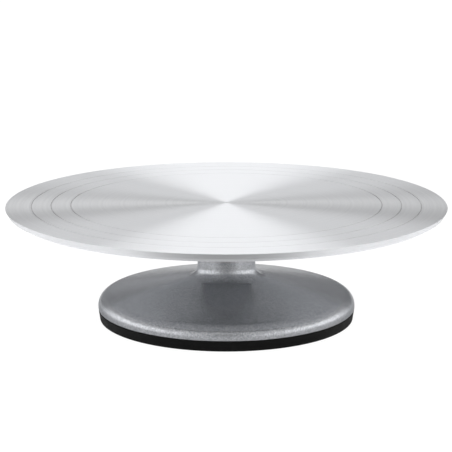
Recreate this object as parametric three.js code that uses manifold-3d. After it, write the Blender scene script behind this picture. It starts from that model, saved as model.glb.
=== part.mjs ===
// Cake turntable: a turned aluminium plate that spins on a cast pedestal base.
//
// Millimetres, +Z up. The origin is the middle of the face that the rubber foot ring stands on,
// and the spin axis is Z. The plate is bolted to a hub, the hub carries a steel spindle, and the
// spindle runs in two deep-groove ball bearings that are pressed into the neck of the casting.
import * as THREE from "three";
import { mergeVertices } from "three/addons/utils/BufferGeometryUtils.js";
import Module from "manifold-3d";

const wasm = await Module();
wasm.setup();

const DEG = Math.PI / 180;

// ---- Driving dimensions ------------------------------------------------------------------

const HEIGHT = 81.2; // table top to plate top
const PLATE_RADIUS = 152.4; // a 12 inch plate
const PLATE_THICKNESS = 6.3;
const BASE_RADIUS = 89.75; // widest part of the casting
const NECK_RADIUS = 20.2;
const CLEARANCE = 0.15; // between pieces that are fixed to each other
const GAP = 1.2; // between the spinning hub and the neck

// How finely round pieces are faceted. All of them have a corner on +X, so a smaller count
// that divides a larger one nests inside it.
const PLATE_SIDES = 72;
const BASE_SIDES = 48;
const INNER_SIDES = 24;
const SCREW_SIDES = 12;
const ARC_STEPS = 4;
const BALL_SIDES = { around: 8, down: 6 };
const POCKET_SIDES = { around: 12, down: 8 };

// Plate
const PLATE_UNDERSIDE = HEIGHT - PLATE_THICKNESS;
const RIM_KNEE = { inset: 2.0, drop: 3.8 }; // where the steep bevel meets the shallow one
const RIM_FOOT_INSET = 6.2; // the flat underside starts this far in from the edge
const RIM_EDGE_BREAK = 0.3;
const GUIDE_RINGS = { first: 107.6, pitch: 13.5, count: 3, width: 1.0, depth: 0.4 };
const CENTRE_DIMPLE = { radius: 1.1, depth: 0.6 };

// Hub that bolts under the plate
const HUB = { radius: 54, thickness: 5, recess: 1.0, boss: 2.8, edgeBreak: 0.6 };
const HUB_TOP = PLATE_UNDERSIDE + HUB.recess;
const HUB_UNDERSIDE = HUB_TOP - HUB.thickness;
const SCREWS = {
  count: 4,
  circle: 34,
  shank: 2.4,
  head: 4.6,
  headHeight: 3.0,
  headRound: 1.6,
  depth: 3.6,
  point: 0.6,
};
const SCREW_SOCKET = { radius: 1.75, depth: 1.6, sides: 6 };

// Ball bearings, 12 x 32 x 10
const BEARING = {
  bore: 6.0,
  outer: 16.0,
  width: 10.0,
  pitch: 11.1,
  ball: 2.976,
  balls: 7,
  innerLand: 9.1,
  outerLand: 13.3,
  raceClearance: 0.25,
  edgeBreak: 0.5,
};
const CAGE = { inner: 10.0, outer: 12.4, bottom: -4.0, top: 1.5, pocketClearance: 0.17 };
const SHIELD = { inner: 9.5, outer: 14.3, thickness: 0.45, inset: 0.25, gap: 0.05 };
const UPPER_BEARING_Z = 61; // mid-height of each bearing
const LOWER_BEARING_Z = 31;

// Spindle, spacer, washer and nut
const SPINDLE = {
  flange: 14,
  flangeThickness: 2,
  body: 8.6,
  shaft: BEARING.bore - CLEARANCE,
  thread: 4.9,
  runout: 0.5,
  point: 0.9,
  end: 13,
};
const SPACER_RADIUS = 8.4;
const WASHER = { inner: 5.3, outer: 10, thickness: 2 };
const NUT = { acrossFlats: 17, height: 8.4, chamferSlope: 30 * DEG };

// Casting
const NECK_TOP = HUB_UNDERSIDE - HUB.boss - GAP;
const FILLET_RADIUS = 9; // where the neck flares into the cone
const CONE_TOP = { radius: 27.4, z: 28.7 };
const CONE_SLOPE = 11.3 * DEG;
const SHOULDER_RADIUS = 8.5;
const SHELL_THICKNESS = 3.6;
const CASTING_UNDERSIDE = 7.1;
const RIM_WALL_INNER = 78.8;
const SEAT_RADIUS = BEARING.outer + CLEARANCE;
const LAND_RADIUS = 13.6; // the narrower bore between the two bearing seats
const TUBE_BOTTOM = 8;
const TUBE_DRAFT = 0.4; // how much the tube widens from its foot to the shell
const CASTING_EDGE = 0.5;
const INSIDE_BEVEL = { tube: 4, rim: 2 };
const RIBS = { count: 4, thickness: 4, underside: 9.5, overlap: 1 };

// Rubber foot ring and dust cap
const FOOT = { bottom: 88.6, top: 89.6, inner: 79.4, edge: 0.6 };
const FOOT_TONGUE = { inner: 81, outer: 85, height: 3.6, clearance: 0.2 };
const CAP = { wall: 1.3, floor: 1.6, depth: 5.2, inset: 0.3, edge: 0.6 };

// ---- Finishes ----------------------------------------------------------------------------

const FINISH = {
  turnedAluminium: { color: 0xd4d5d7, roughness: 0.25, metalness: 1.0 },
  silverPaint: { color: 0x85878b, roughness: 0.38, metalness: 0.8 },
  castAluminium: { color: 0xa9abae, roughness: 0.5, metalness: 1.0 },
  rubber: { color: 0x171716, roughness: 0.75, metalness: 0.0 },
  bearingSteel: { color: 0xbfc1c4, roughness: 0.15, metalness: 1.0 },
  plainSteel: { color: 0x9a9da1, roughness: 0.35, metalness: 1.0 },
  nylon: { color: 0xd9cfb4, roughness: 0.5, metalness: 0.0 },
  blackPlastic: { color: 0x1c1d1e, roughness: 0.55, metalness: 0.0 },
};

// ---- Helpers -----------------------------------------------------------------------------

// A point on a circle about (r, z), for profiles.
function polar(r, z, radius, angle) {
  return [r + radius * Math.cos(angle), z + radius * Math.sin(angle)];
}

// Points along an arc, both ends included.
function arc(r, z, radius, from, to, steps) {
  return Array.from({ length: steps + 1 }, (_, i) =>
    polar(r, z, radius, from + ((to - from) * i) / steps),
  );
}

// Stands a shape that was made about Y up along Z, with its first corner on +X.
function upright(geometry) {
  return geometry.rotateX(Math.PI / 2).rotateZ(Math.PI / 2);
}

// A profile of [radius, height] points that starts and ends on the axis, anticlockwise, turned about Z.
function turnedSolid(profile, sides) {
  const points = profile.map(([r, z]) => new THREE.Vector2(r, z));
  return upright(new THREE.LatheGeometry(points, sides));
}

// A closed outline clear of the axis, anticlockwise, turned about Z.
function turned(outline, sides) {
  return turnedSolid([...outline, outline[0]], sides);
}

// A plain ring between two radii and two heights.
function washerShape(inner, outer, bottom, top, sides) {
  return turned(
    [
      [inner, bottom],
      [outer, bottom],
      [outer, top],
      [inner, top],
    ],
    sides,
  );
}

// An upright prism or cylinder from one height to another.
function post(radius, bottom, top, sides) {
  const shape = new THREE.CylinderGeometry(radius, radius, top - bottom, sides);
  return upright(shape).translate(0, 0, (bottom + top) / 2);
}

// Geometry to a manifold-3d solid.
function toSolid(geometry) {
  const bare = new THREE.BufferGeometry();
  const plain = geometry.index ? geometry.toNonIndexed() : geometry;
  bare.setAttribute("position", plain.getAttribute("position"));
  const merged = mergeVertices(bare, 1e-4);
  return new wasm.Manifold(
    new wasm.Mesh({
      numProp: 3,
      vertProperties: merged.attributes.position.array,
      triVerts: new Uint32Array(merged.index.array),
    }),
  );
}

// A manifold-3d solid back to geometry.
function toGeometry(solid) {
  const { vertProperties, triVerts } = solid.getMesh();
  const geometry = new THREE.BufferGeometry();
  geometry.setAttribute("position", new THREE.BufferAttribute(vertProperties, 3));
  geometry.setIndex(new THREE.BufferAttribute(triVerts, 1));
  geometry.computeVertexNormals();
  return geometry;
}

function cut(geometry, ...tools) {
  const left = tools.reduce((solid, tool) => solid.subtract(toSolid(tool)), toSolid(geometry));
  return toGeometry(left);
}

function join(geometry, ...others) {
  const whole = others.reduce((solid, other) => solid.add(toSolid(other)), toSolid(geometry));
  return toGeometry(whole);
}

function part(name, geometry, finish) {
  const mesh = new THREE.Mesh(geometry, new THREE.MeshStandardMaterial(finish));
  mesh.name = name;
  return mesh;
}

// Angles of a repeated feature, evenly spaced about Z.
function anglesOf(count, start = 0) {
  return Array.from({ length: count }, (_, i) => start + (i * 2 * Math.PI) / count);
}

const SCREW_ANGLES = anglesOf(SCREWS.count, 45 * DEG);

// ---- Plate, hub and screws ---------------------------------------------------------------

// The V-shaped guide rings in the plate's top face, from the outermost inwards.
function guideRingProfile() {
  const { first, pitch, count, width, depth } = GUIDE_RINGS;
  const radii = Array.from({ length: count }, (_, i) => first + i * pitch).reverse();
  return radii.flatMap((radius) => [
    [radius + width / 2, HEIGHT],
    [radius, HEIGHT - depth],
    [radius - width / 2, HEIGHT],
  ]);
}

function turntablePlate() {
  const recessRadius = HUB.radius + CLEARANCE;
  const plate = turnedSolid(
    [
      [0, HUB_TOP + CLEARANCE],
      [recessRadius, HUB_TOP + CLEARANCE],
      [recessRadius, PLATE_UNDERSIDE],
      [PLATE_RADIUS - RIM_FOOT_INSET, PLATE_UNDERSIDE],
      [PLATE_RADIUS - RIM_KNEE.inset, HEIGHT - RIM_KNEE.drop],
      [PLATE_RADIUS, HEIGHT - RIM_EDGE_BREAK],
      [PLATE_RADIUS - RIM_EDGE_BREAK, HEIGHT],
      ...guideRingProfile(),
      [CENTRE_DIMPLE.radius, HEIGHT],
      [0, HEIGHT - CENTRE_DIMPLE.depth],
    ],
    PLATE_SIDES,
  );
  const holeTop = HUB_TOP + SCREWS.depth + 2 * CLEARANCE;
  const holes = SCREW_ANGLES.map((angle) =>
    post(SCREWS.shank + CLEARANCE, PLATE_UNDERSIDE, holeTop, SCREW_SIDES)
      .translate(SCREWS.circle, 0, 0)
      .rotateZ(angle),
  );
  return part("turntable_plate", cut(plate, ...holes), FINISH.turnedAluminium);
}

function hubFlange() {
  const bossBottom = NECK_TOP + GAP;
  const bore = SPINDLE.body + CLEARANCE;
  const flangeSeat = HUB_TOP - SPINDLE.flangeThickness - CLEARANCE;
  const hub = turned(
    [
      [bore, bossBottom],
      [NECK_RADIUS - HUB.edgeBreak, bossBottom],
      [NECK_RADIUS, bossBottom + HUB.edgeBreak],
      [NECK_RADIUS, HUB_UNDERSIDE],
      [HUB.radius - HUB.edgeBreak, HUB_UNDERSIDE],
      [HUB.radius, HUB_UNDERSIDE + HUB.edgeBreak],
      [HUB.radius, HUB_TOP],
      [SPINDLE.flange + CLEARANCE, HUB_TOP],
      [SPINDLE.flange + CLEARANCE, flangeSeat],
      [bore, flangeSeat],
    ],
    BASE_SIDES,
  );
  const holes = SCREW_ANGLES.map((angle) =>
    post(SCREWS.shank + 2 * CLEARANCE, HUB_UNDERSIDE - 1, HUB_TOP + 1, SCREW_SIDES)
      .translate(SCREWS.circle, 0, 0)
      .rotateZ(angle),
  );
  return part("hub_flange", cut(hub, ...holes), FINISH.castAluminium);
}

// A pan-head socket screw that comes up through the hub into the plate.
function plateScrew(index, angle) {
  const { shank, head, headHeight, headRound, depth, point } = SCREWS;
  const seat = HUB_UNDERSIDE - CLEARANCE;
  const headBottom = seat - headHeight;
  const tip = HUB_TOP + depth;
  const screw = turnedSolid(
    [
      [0, headBottom],
      ...arc(head - headRound, headBottom + headRound, headRound, -90 * DEG, 0, ARC_STEPS),
      [head, seat],
      [shank, seat],
      [shank, tip - point],
      [shank - point, tip],
      [0, tip],
    ],
    SCREW_SIDES,
  );
  const { radius, depth: socketDepth, sides } = SCREW_SOCKET;
  const socket = post(radius, headBottom - 1, headBottom + socketDepth, sides);
  const shape = cut(screw, socket).translate(SCREWS.circle, 0, 0).rotateZ(angle);
  return part(`plate_screw_${index + 1}`, shape, FINISH.plainSteel);
}

// ---- Spindle and what is clamped on it ---------------------------------------------------

const UPPER_TOP = UPPER_BEARING_Z + BEARING.width / 2;
const UPPER_BOTTOM = UPPER_BEARING_Z - BEARING.width / 2;
const LOWER_TOP = LOWER_BEARING_Z + BEARING.width / 2;
const LOWER_BOTTOM = LOWER_BEARING_Z - BEARING.width / 2;

function spindle() {
  const { flange, flangeThickness, body, shaft, thread, runout, point, end } = SPINDLE;
  const shape = turnedSolid(
    [
      [0, end],
      [thread - point, end],
      [thread, end + point],
      [thread, LOWER_BOTTOM + runout],
      [shaft, LOWER_BOTTOM + runout + shaft - thread],
      [shaft, UPPER_TOP],
      [body, UPPER_TOP],
      [body, HUB_TOP - flangeThickness],
      [flange, HUB_TOP - flangeThickness],
      [flange, HUB_TOP],
      [0, HUB_TOP],
    ],
    INNER_SIDES,
  );
  return part("spindle", shape, FINISH.plainSteel);
}

function bearingSpacer() {
  const shape = washerShape(BEARING.bore, SPACER_RADIUS, LOWER_TOP, UPPER_BOTTOM, INNER_SIDES);
  return part("bearing_spacer", shape, FINISH.castAluminium);
}

function spindleWasher() {
  const { inner, outer, thickness } = WASHER;
  const shape = washerShape(inner, outer, LOWER_BOTTOM - thickness, LOWER_BOTTOM, INNER_SIDES);
  return part("spindle_washer", shape, FINISH.plainSteel);
}

function spindleNut() {
  const top = LOWER_BOTTOM - WASHER.thickness;
  const bottom = top - NUT.height;
  const flat = NUT.acrossFlats / 2;
  const corner = flat / Math.cos(30 * DEG);
  const beyond = corner + 0.5;
  const rise = (beyond - flat) * Math.tan(NUT.chamferSlope);
  const hexagon = toSolid(post(corner, bottom, top, 6));
  const chamfers = toSolid(
    turnedSolid(
      [
        [0, bottom],
        [flat, bottom],
        [beyond, bottom + rise],
        [beyond, top - rise],
        [flat, top],
        [0, top],
      ],
      INNER_SIDES,
    ),
  );
  const bore = toSolid(post(SPINDLE.thread + CLEARANCE, bottom - 1, top + 1, INNER_SIDES));
  const nut = hexagon.intersect(chamfers).subtract(bore);
  return part("spindle_nut", toGeometry(nut), FINISH.plainSteel);
}

// ---- Ball bearings -----------------------------------------------------------------------

// Where the race groove cuts a land of that radius, as an angle about the ball's centre.
function raceAngle(land) {
  const { pitch, ball, raceClearance } = BEARING;
  return Math.acos(Math.abs(land - pitch) / (ball + raceClearance));
}

function innerRing(name, z) {
  const { bore, width, pitch, ball, innerLand, raceClearance, edgeBreak } = BEARING;
  const half = width / 2;
  const open = raceAngle(innerLand);
  const race = arc(pitch, z, ball + raceClearance, Math.PI + open, Math.PI - open, ARC_STEPS);
  const shape = turned(
    [
      [bore + edgeBreak, z - half],
      [innerLand, z - half],
      ...race,
      [innerLand, z + half],
      [bore + edgeBreak, z + half],
      [bore, z + half - edgeBreak],
      [bore, z - half + edgeBreak],
    ],
    INNER_SIDES,
  );
  return part(name, shape, FINISH.bearingSteel);
}

function outerRing(name, z) {
  const { outer, width, pitch, ball, outerLand, raceClearance, edgeBreak } = BEARING;
  const half = width / 2;
  const open = raceAngle(outerLand);
  const race = arc(pitch, z, ball + raceClearance, open, -open, ARC_STEPS);
  const stepRadius = SHIELD.outer + CLEARANCE;
  const step = half - SHIELD.inset - SHIELD.thickness - SHIELD.gap;
  const shape = turned(
    [
      [stepRadius, z - half],
      [outer - edgeBreak, z - half],
      [outer, z - half + edgeBreak],
      [outer, z + half - edgeBreak],
      [outer - edgeBreak, z + half],
      [stepRadius, z + half],
      [stepRadius, z + step],
      [outerLand, z + step],
      ...race,
      [outerLand, z - step],
      [stepRadius, z - step],
    ],
    INNER_SIDES,
  );
  return part(name, shape, FINISH.bearingSteel);
}

// A dished metal shield. side is +1 above the balls and -1 below them.
function shield(name, z, side) {
  const outside = z + side * (BEARING.width / 2 - SHIELD.inset);
  const inside = outside - side * SHIELD.thickness;
  const bottom = Math.min(inside, outside);
  const top = Math.max(inside, outside);
  const shape = washerShape(SHIELD.inner, SHIELD.outer, bottom, top, INNER_SIDES);
  return part(name, shape, FINISH.plainSteel);
}

// A sphere on a bearing's pitch circle, at that height and angle.
function sphereOnPitch(radius, sides, z, angle) {
  const sphere = new THREE.SphereGeometry(radius, sides.around, sides.down);
  return upright(sphere).translate(BEARING.pitch, 0, z).rotateZ(angle);
}

// A snap-in cage: a ring on one side of the balls, with fingers that reach up between them.
function cage(name, z, angles) {
  const { inner, outer, bottom, top, pocketClearance } = CAGE;
  const pocket = BEARING.ball + pocketClearance;
  const ring = washerShape(inner, outer, z + bottom, z + top, INNER_SIDES);
  const pockets = angles.map((angle) => sphereOnPitch(pocket, POCKET_SIDES, z, angle));
  return part(name, cut(ring, ...pockets), FINISH.nylon);
}

// The pieces of one bearing, as three lists: those that spin with the spindle, those that stay
// with the casting, and those that roll between the two.
function bearing(prefix, z, startAngle) {
  const angles = anglesOf(BEARING.balls, startAngle);
  const balls = angles.map((angle, i) => {
    const shape = sphereOnPitch(BEARING.ball, BALL_SIDES, z, angle);
    return part(`${prefix}_ball_${i + 1}`, shape, FINISH.bearingSteel);
  });
  return {
    spinning: [innerRing(`${prefix}_bearing_inner_ring`, z)],
    fixed: [
      outerRing(`${prefix}_bearing_outer_ring`, z),
      shield(`${prefix}_bearing_top_shield`, z, 1),
      shield(`${prefix}_bearing_bottom_shield`, z, -1),
    ],
    rolling: [cage(`${prefix}_bearing_cage`, z, angles), ...balls],
  };
}

// ---- Casting, foot ring and cap ----------------------------------------------------------

// Height of the cone's outer face at a radius.
function coneHeight(radius) {
  return CONE_TOP.z - Math.tan(CONE_SLOPE) * (radius - CONE_TOP.radius);
}

// Height of the shell's inner face at a radius.
function shellInside(radius) {
  return coneHeight(radius) - SHELL_THICKNESS / Math.cos(CONE_SLOPE);
}

// Neck, flare, cone and rounded shoulder, from the rim's foot up to the neck's top.
function castingOutside() {
  const shoulderR = BASE_RADIUS - SHOULDER_RADIUS;
  const coneEnd = 90 * DEG - CONE_SLOPE;
  const [endR, endDrop] = polar(0, 0, SHOULDER_RADIUS, coneEnd);
  const shoulderZ = coneHeight(shoulderR + endR) - endDrop;
  const filletR = NECK_RADIUS + FILLET_RADIUS;
  const filletZ = CONE_TOP.z + FILLET_RADIUS * Math.cos(CONE_SLOPE);
  return [
    [BASE_RADIUS - CASTING_EDGE, CASTING_UNDERSIDE],
    [BASE_RADIUS, CASTING_UNDERSIDE + CASTING_EDGE],
    ...arc(shoulderR, shoulderZ, SHOULDER_RADIUS, 0, coneEnd, ARC_STEPS),
    ...arc(filletR, filletZ, FILLET_RADIUS, 270 * DEG - CONE_SLOPE, 180 * DEG, ARC_STEPS),
    [NECK_RADIUS, NECK_TOP - CASTING_EDGE],
    [NECK_RADIUS - CASTING_EDGE, NECK_TOP],
  ];
}

// The bore with its two bearing seats, from the neck's top down to the tube's foot.
function castingBore() {
  return [
    [SEAT_RADIUS, NECK_TOP],
    [SEAT_RADIUS, UPPER_BOTTOM],
    [LAND_RADIUS, UPPER_BOTTOM],
    [LAND_RADIUS, LOWER_TOP],
    [SEAT_RADIUS, LOWER_TOP],
    [SEAT_RADIUS, TUBE_BOTTOM],
  ];
}

// The hollow underside, from the tube's foot out to the groove that holds the foot ring.
function castingUnderside() {
  const grooveInner = FOOT_TONGUE.inner - FOOT_TONGUE.clearance;
  const grooveOuter = FOOT_TONGUE.outer + FOOT_TONGUE.clearance;
  const grooveTop = CASTING_UNDERSIDE + FOOT_TONGUE.height + FOOT_TONGUE.clearance;
  const { tube, rim } = INSIDE_BEVEL;
  return [
    [NECK_RADIUS, TUBE_BOTTOM],
    [NECK_RADIUS + TUBE_DRAFT, shellInside(NECK_RADIUS) - tube],
    [NECK_RADIUS + tube, shellInside(NECK_RADIUS + tube)],
    [RIM_WALL_INNER - rim, shellInside(RIM_WALL_INNER - rim)],
    [RIM_WALL_INNER, shellInside(RIM_WALL_INNER) - rim],
    [RIM_WALL_INNER, CASTING_UNDERSIDE],
    [grooveInner, CASTING_UNDERSIDE],
    [grooveInner, grooveTop],
    [grooveOuter, grooveTop],
    [grooveOuter, CASTING_UNDERSIDE],
  ];
}

// A radial web from the tube to the rim, with its top inside the shell.
function rib(angle) {
  const inside = NECK_RADIUS - RIBS.overlap;
  const outside = RIM_WALL_INNER + RIBS.overlap;
  const buried = SHELL_THICKNESS / 2;
  const outline = new THREE.Shape(
    [
      [inside, RIBS.underside],
      [outside, RIBS.underside],
      [outside, shellInside(outside) + buried],
      [inside, shellInside(inside) + buried],
    ].map(([r, z]) => new THREE.Vector2(r, z)),
  );
  return new THREE.ExtrudeGeometry(outline, { depth: RIBS.thickness, bevelEnabled: false })
    .rotateX(Math.PI / 2)
    .translate(0, RIBS.thickness / 2, 0)
    .rotateZ(angle);
}

function baseCasting() {
  const outline = [...castingOutside(), ...castingBore(), ...castingUnderside()];
  const shell = turned(outline, BASE_SIDES);
  const ribs = anglesOf(RIBS.count, 45 * DEG).map(rib);
  return part("base_casting", join(shell, ...ribs), FINISH.silverPaint);
}

// The tread stands on the table, and the tongue is pressed up into the casting's groove.
function rubberFootRing() {
  const { bottom, top, inner, edge } = FOOT;
  const treadTop = CASTING_UNDERSIDE - CLEARANCE;
  const tongueTop = treadTop + FOOT_TONGUE.height;
  const shape = turned(
    [
      [inner + 2 * edge, 0],
      [bottom - edge, 0],
      [bottom, edge],
      [top, treadTop],
      [FOOT_TONGUE.outer, treadTop],
      [FOOT_TONGUE.outer, tongueTop],
      [FOOT_TONGUE.inner, tongueTop],
      [FOOT_TONGUE.inner, treadTop],
      [inner, treadTop],
      [inner, 2 * edge],
    ],
    BASE_SIDES,
  );
  return part("rubber_foot_ring", shape, FINISH.rubber);
}

// A pressed-in cup that closes the tube under the nut.
function bottomDustCap() {
  const { wall, floor, depth, inset, edge } = CAP;
  const radius = SEAT_RADIUS - CLEARANCE;
  const bottom = TUBE_BOTTOM + inset;
  const shape = turnedSolid(
    [
      [0, bottom],
      [radius - edge, bottom],
      [radius, bottom + edge],
      [radius, bottom + depth],
      [radius - wall, bottom + depth],
      [radius - wall, bottom + floor],
      [0, bottom + floor],
    ],
    INNER_SIDES,
  );
  return part("bottom_dust_cap", shape, FINISH.blackPlastic);
}

// ---- Assembly ----------------------------------------------------------------------------

function group(...meshes) {
  const made = new THREE.Group();
  made.add(...meshes);
  return made;
}

const upper = bearing("upper", UPPER_BEARING_Z, 0);
const lower = bearing("lower", LOWER_BEARING_Z, 90 * DEG);

const spinning = group(
  turntablePlate(),
  hubFlange(),
  ...SCREW_ANGLES.map((angle, i) => plateScrew(i, angle)),
  spindle(),
  ...upper.spinning,
  bearingSpacer(),
  ...lower.spinning,
  spindleWasher(),
  spindleNut(),
);

const base = group(
  baseCasting(),
  rubberFootRing(),
  ...upper.fixed,
  ...lower.fixed,
  bottomDustCap(),
);

const turntable = new THREE.Group();
turntable.name = "cake_turntable";
turntable.add(spinning, base, group(...upper.rolling), group(...lower.rolling));

export default turntable;
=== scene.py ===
"""Cake turntable: the visible surfaces of every piece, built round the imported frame.

A turned aluminium plate is screwed to a hub. The hub holds a steel spindle, which runs in two
shielded ball bearings in the neck of a painted casting. The casting stands on a rubber foot ring.

Outlines are lists of (radius, height) in millimetres. Meshes are made in metres, in the frame's
own axes: Z is the spin axis and the foot ring stands on z = 0.
"""

import logging
import math
from dataclasses import dataclass, field
from enum import Enum

import bpy
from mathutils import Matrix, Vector

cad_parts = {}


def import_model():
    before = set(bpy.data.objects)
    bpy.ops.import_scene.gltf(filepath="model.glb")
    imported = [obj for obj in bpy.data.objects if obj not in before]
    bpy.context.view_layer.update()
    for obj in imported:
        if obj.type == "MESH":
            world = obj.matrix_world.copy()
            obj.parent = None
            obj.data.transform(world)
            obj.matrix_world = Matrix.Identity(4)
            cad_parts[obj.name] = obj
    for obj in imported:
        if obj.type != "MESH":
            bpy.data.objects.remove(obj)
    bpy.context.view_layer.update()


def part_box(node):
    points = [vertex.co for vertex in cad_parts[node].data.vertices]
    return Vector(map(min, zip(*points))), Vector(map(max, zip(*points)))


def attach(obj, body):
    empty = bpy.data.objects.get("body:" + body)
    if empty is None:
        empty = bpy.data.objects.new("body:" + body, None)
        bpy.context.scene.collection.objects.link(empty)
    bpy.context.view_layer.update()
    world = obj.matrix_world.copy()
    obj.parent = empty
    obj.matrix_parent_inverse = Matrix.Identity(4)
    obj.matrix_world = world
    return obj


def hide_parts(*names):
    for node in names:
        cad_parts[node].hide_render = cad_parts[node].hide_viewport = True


LOG = logging.getLogger("cake_turntable")

MM = 0.001
AXIS = 0.05  # the radius, in millimetres, of a closing ring beside the spin axis
OVERSHOOT = 1.0  # how far a drill runs past the face it cuts, in millimetres
ON_AXIS = (0.0, 0.0)
Outline = list[tuple[float, float]]
Colour = tuple[float, float, float]


class Body(Enum):
    """The bodies that pieces ride on."""

    BASE = "base"
    TURNTABLE = "turntable"
    UPPER_BALLS = "upper_ball_set"
    LOWER_BALLS = "lower_ball_set"


class Slot(Enum):
    """The record's material slots."""

    TURNED_ALUMINIUM = "turned_aluminium"
    SILVER_PAINT = "silver_paint"
    CAST_ALUMINIUM = "cast_aluminium"
    RUBBER = "rubber"
    BEARING_STEEL = "bearing_steel"
    PLAIN_STEEL = "plain_steel"
    NYLON = "nylon"
    BLACK_PLASTIC = "black_plastic"


class Sides(Enum):
    """How many flats a turned piece is made of."""

    PLATE = 288
    CASTING = 192
    INNER = 96
    FASTENER = 48


class Cut(Enum):
    """What a tool does to the piece it is combined with."""

    AWAY = "DIFFERENCE"
    JOINED = "UNION"
    SHARED = "INTERSECT"


class Face(Enum):
    """A bearing's two faces, as the frame names them."""

    TOP = "top"
    BOTTOM = "bottom"


class Ends(Enum):
    """How a turned outline closes."""

    JOINED = "the last ring is bridged to the first"
    CAPPED = "both end rings are filled"


# ---- Modelling moves ---------------------------------------------------------------------------


def clear_selection() -> None:
    """Leaves object mode with nothing selected."""
    if bpy.context.object and bpy.context.object.mode != "OBJECT":
        bpy.ops.object.mode_set(mode="OBJECT")
    bpy.ops.object.select_all(action="DESELECT")


def pick(piece: bpy.types.Object) -> None:
    """Selects one piece alone and makes it active.

    Args:
        piece: The object that the next operators act on.
    """
    clear_selection()
    piece.select_set(True)
    bpy.context.view_layer.objects.active = piece


def settle(piece: bpy.types.Object) -> None:
    """Puts an object's place, turn and scale into its mesh.

    Args:
        piece: The object, which ends at the origin, unturned and unscaled.
    """
    pick(piece)
    bpy.ops.object.transform_apply(location=True, rotation=True, scale=True)


def point_outwards(piece: bpy.types.Object) -> None:
    """Merges doubled points and turns every face outwards.

    Args:
        piece: A closed mesh.
    """
    pick(piece)
    bpy.ops.object.mode_set(mode="EDIT")
    bpy.ops.mesh.select_all(action="SELECT")
    bpy.ops.mesh.remove_doubles(threshold=1e-6)
    bpy.ops.mesh.normals_make_consistent(inside=False)
    bpy.ops.object.mode_set(mode="OBJECT")


def turn(name: str, outline: Outline, sides: Sides, ends: Ends = Ends.JOINED) -> bpy.types.Object:
    """Turns an outline about Z, by extruding a circle from ring to ring.

    Args:
        name: The piece's name.
        outline: (radius, height) in millimetres, one for each ring.
        sides: How many flats the piece has round it.
        ends: How the first and last rings close.

    Returns:
        A closed mesh object at the origin.
    """
    radius, height = outline[0]
    clear_selection()
    bpy.ops.mesh.primitive_circle_add(
        vertices=sides.value, radius=radius * MM, location=(0, 0, height * MM)
    )
    piece = bpy.context.object
    piece.name = name
    piece.data.name = name
    settle(piece)
    bpy.ops.object.mode_set(mode="EDIT")
    bpy.ops.mesh.select_all(action="SELECT")
    if ends is Ends.CAPPED:
        bpy.ops.mesh.edge_face_add()
    for next_radius, next_height in outline[1:]:
        rise = (0, 0, (next_height - height) * MM)
        bpy.ops.mesh.extrude_edges_move(TRANSFORM_OT_translate={"value": rise})
        growth = next_radius / radius
        bpy.ops.transform.resize(value=(growth, growth, 1), center_override=(0, 0, 0))
        radius, height = next_radius, next_height
    if ends is Ends.CAPPED:
        bpy.ops.mesh.edge_face_add()
    else:
        bpy.ops.mesh.select_all(action="DESELECT")
        bpy.ops.mesh.select_non_manifold(extend=False, use_wire=False, use_multi_face=False)
        bpy.ops.mesh.bridge_edge_loops()
    bpy.ops.object.mode_set(mode="OBJECT")
    point_outwards(piece)
    return piece


def soften(piece: bpy.types.Object, width: float, segments: int = 3, angle: float = 30.0) -> None:
    """Rounds a piece's edges and shades it smooth, with its flats kept flat.

    Args:
        piece: The object.
        width: The rounding's width in millimetres.
        segments: How many faces go round an edge.
        angle: Edges sharper than this many degrees are rounded.
    """
    pick(piece)
    bpy.ops.object.shade_smooth()
    bpy.ops.object.modifier_add(type="BEVEL")
    bevel = piece.modifiers[-1]
    bevel.width = width * MM
    bevel.segments = segments
    bevel.limit_method = "ANGLE"
    bevel.angle_limit = math.radians(angle)
    bevel.harden_normals = True
    bevel.use_clamp_overlap = True
    bpy.ops.object.modifier_apply(modifier=bevel.name)


def combine(piece: bpy.types.Object, tool: bpy.types.Object, cut: Cut) -> None:
    """Cuts a tool out of a piece, joins it on, or keeps only what they share.

    Args:
        piece: The object that stays.
        tool: The object that is used up.
        cut: What the tool does.
    """
    pick(piece)
    bpy.ops.object.modifier_add(type="BOOLEAN")
    boolean = piece.modifiers[-1]
    boolean.operation = cut.value
    boolean.solver = "EXACT"
    boolean.object = tool
    bpy.ops.object.modifier_apply(modifier=boolean.name)
    bpy.data.objects.remove(tool, do_unlink=True)


def cylinder(
    radius: float, low: float, high: float, sides: int, at: tuple[float, float] = ON_AXIS
) -> bpy.types.Object:
    """Makes an upright cylinder or prism as a cutting tool.

    Args:
        radius: Its radius in millimetres.
        low: The height of its foot, in millimetres.
        high: The height of its top, in millimetres.
        sides: How many flats it has.
        at: Its axis's x and y, in millimetres.

    Returns:
        The object, at the origin.
    """
    clear_selection()
    centre = (at[0] * MM, at[1] * MM, (low + high) / 2 * MM)
    bpy.ops.mesh.primitive_cylinder_add(
        vertices=sides, radius=radius * MM, depth=(high - low) * MM, location=centre
    )
    tool = bpy.context.object
    settle(tool)
    return tool


def copy_turned(piece: bpy.types.Object, name: str, angle: float) -> bpy.types.Object:
    """Copies a piece with its own mesh, turned about the spin axis.

    Args:
        piece: The finished piece.
        name: The copy's name.
        angle: How far it is turned, in radians.

    Returns:
        The copy, at the origin.
    """
    pick(piece)
    bpy.ops.object.duplicate()
    twin = bpy.context.object
    twin.name = name
    twin.data.name = name
    twin.rotation_euler = (0, 0, angle)
    settle(twin)
    return twin


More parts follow.
